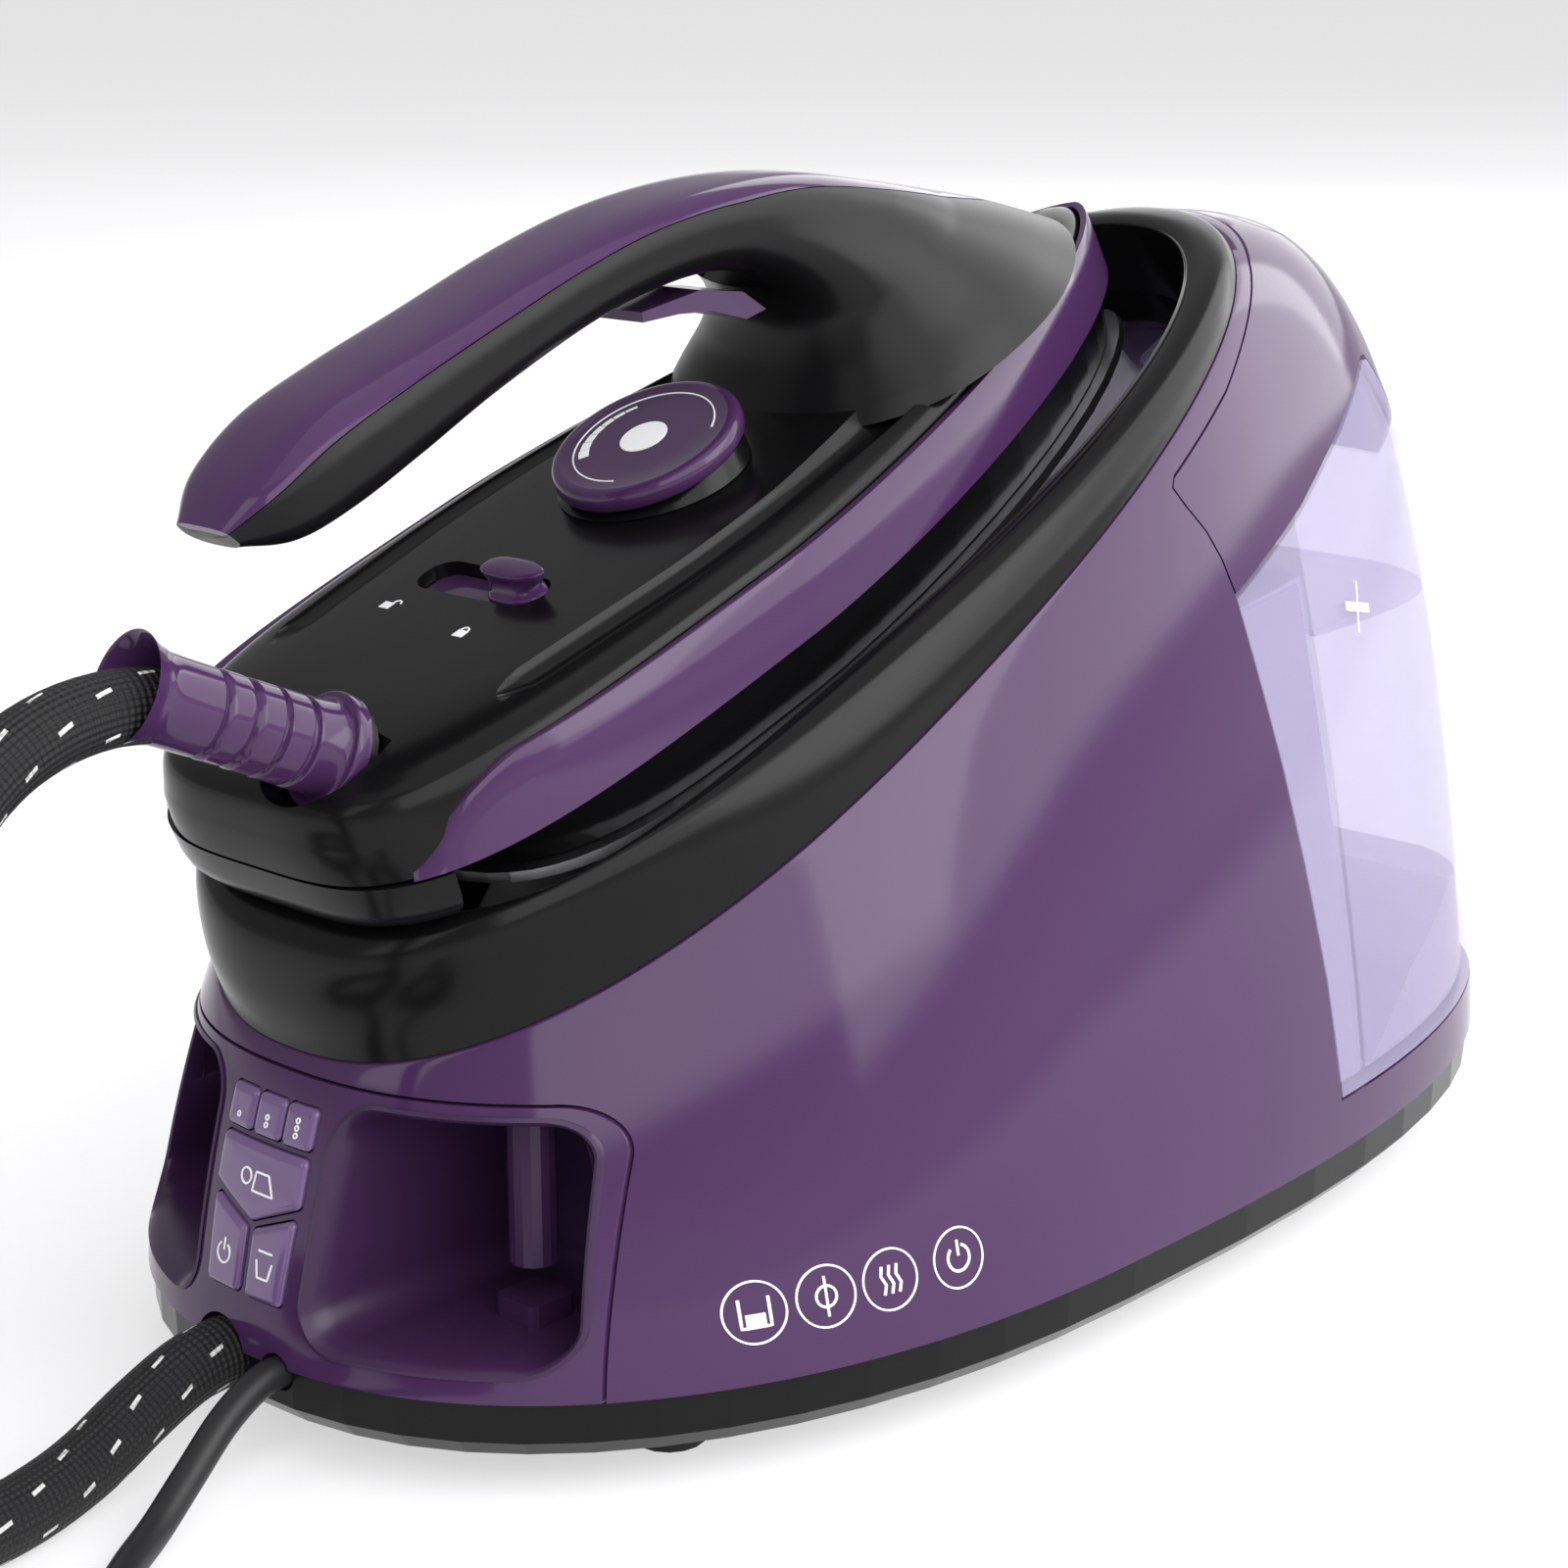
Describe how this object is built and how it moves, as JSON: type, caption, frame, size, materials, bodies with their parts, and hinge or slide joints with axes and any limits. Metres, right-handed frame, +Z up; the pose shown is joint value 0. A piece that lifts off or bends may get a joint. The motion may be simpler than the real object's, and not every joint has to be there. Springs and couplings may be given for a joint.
{
  "type": "steam generator iron",
  "caption": "Steam iron resting nose-up on a sloping station with a clear removable water tank, front control keys, cord bays, a braided steam hose and a mains lead.",
  "frame": {"origin": "on the floor under the middle of the station's foot outline, cords left out", "axes": "+X to the right of someone facing the control keys, +Y from the keys to the water tank, +Z up"},
  "size_m": [0.301, 0.726, 0.2556],
  "materials": {
    "purple_plastic": "glossy moulded purple plastic",
    "dark_purple_plastic": "satin dark purple plastic",
    "clear_purple": "translucent purple key plastic",
    "black_plastic": "glossy black plastic",
    "foot_rubber": "matt black rubber",
    "cord_rubber": "smooth black cord sheath",
    "hose_braid": "black textile braid with pale flecks",
    "tank_clear": "clear lilac tank plastic",
    "sole_steel": "smooth steel",
    "boiler_aluminium": "cast aluminium",
    "valve_brass": "machined brass",
    "board_plastic": "green circuit board"
  },
  "bodies": {
    "station": {"base_tray": "black_plastic", "foot_1": "foot_rubber", "foot_2": "foot_rubber", "foot_3": "foot_rubber", "foot_4": "foot_rubber", "main_shell": "purple_plastic", "front_panel": "purple_plastic", "cord_bay_left": "dark_purple_plastic", "cord_bay_right": "dark_purple_plastic", "cord_peg_left": "dark_purple_plastic", "cord_peg_right": "dark_purple_plastic", "cord_block_left": "dark_purple_plastic", "cord_block_right": "dark_purple_plastic", "lamp_low": "clear_purple", "lamp_medium": "clear_purple", "lamp_high": "clear_purple", "hose_gland": "cord_rubber", "mains_gland": "cord_rubber", "rest_collar": "black_plastic", "rest_pad_left": "foot_rubber", "rest_pad_right": "foot_rubber", "lock_catch": "purple_plastic", "tank_bulkhead": "dark_purple_plastic", "boiler": "boiler_aluminium", "heater_flange": "valve_brass", "water_pump": "sole_steel", "steam_valve": "valve_brass", "power_board": "board_plastic", "key_board": "board_plastic", "hose_lower": "hose_braid", "hose_coil": "hose_braid", "hose_upper": "hose_braid", "mains_cord": "cord_rubber", "mains_coil": "cord_rubber", "mains_tail": "cord_rubber", "mains_plug": "cord_rubber"},
    "tank": {"tank_shell": "tank_clear", "tank_lid": "tank_clear", "tank_cover": "purple_plastic", "tank_valve": "foot_rubber"},
    "flap": {"filler_flap": "purple_plastic"},
    "iron": {"soleplate": "sole_steel", "heat_shield": "black_plastic", "steam_chamber": "boiler_aluminium", "heel_cap": "black_plastic", "side_band": "purple_plastic", "upper_body": "black_plastic", "lock_track": "purple_plastic", "handle_grip": "black_plastic", "handle_cover": "purple_plastic", "dial_plinth": "black_plastic", "hose_sleeve": "purple_plastic", "hose_boot": "cord_rubber"},
    "dial_body": {"dial": "purple_plastic"},
    "trigger_body": {"steam_trigger": "purple_plastic"},
    "lock_body": {"lock_slider": "purple_plastic"},
    "steam_key_body": {"key_steam": "clear_purple"},
    "power_key_body": {"key_power": "clear_purple"},
    "descale_key_body": {"key_descale": "clear_purple"}
  },
  "joints": [
    {"name": "iron_lift", "type": "slide", "parent": "station", "child": "iron", "axis": [0, -0.3502, 0.9367], "range_m": [0, 0.06]},
    {"name": "tank_pull", "type": "slide", "parent": "station", "child": "tank", "axis": [0, 1, 0], "range_m": [0, 0.12]},
    {"name": "flap_open", "type": "hinge", "parent": "tank", "child": "flap", "pos_m": [0, 0.1219, 0.2366], "axis": [1, 0, 0], "range_deg": [0, 75]},
    {"name": "dial_turn", "type": "hinge", "parent": "iron", "child": "dial_body", "pos_m": [0, -0.0789, 0.2004], "axis": [0, -0.4772, 0.8788], "range_deg": [-120, 120]},
    {"name": "steam_trigger_press", "type": "hinge", "parent": "iron", "child": "trigger_body", "pos_m": [0, -0.0868, 0.2286], "axis": [1, 0, 0], "range_deg": [0, 6], "stiffness_Nm_per_rad": 1},
    {"name": "lock_slide", "type": "slide", "parent": "iron", "child": "lock_body", "axis": [1, 0, 0], "range_m": [-0.0155, 0]},
    {"name": "steam_key_press", "type": "slide", "parent": "station", "child": "steam_key_body", "axis": [0, 1, 0], "range_m": [0, 0.0014], "stiffness_N_per_m": 300},
    {"name": "power_key_press", "type": "slide", "parent": "station", "child": "power_key_body", "axis": [0, 1, 0], "range_m": [0, 0.0014], "stiffness_N_per_m": 300},
    {"name": "descale_key_press", "type": "slide", "parent": "station", "child": "descale_key_body", "axis": [0, 1, 0], "range_m": [0, 0.0014], "stiffness_N_per_m": 300}
  ]
}
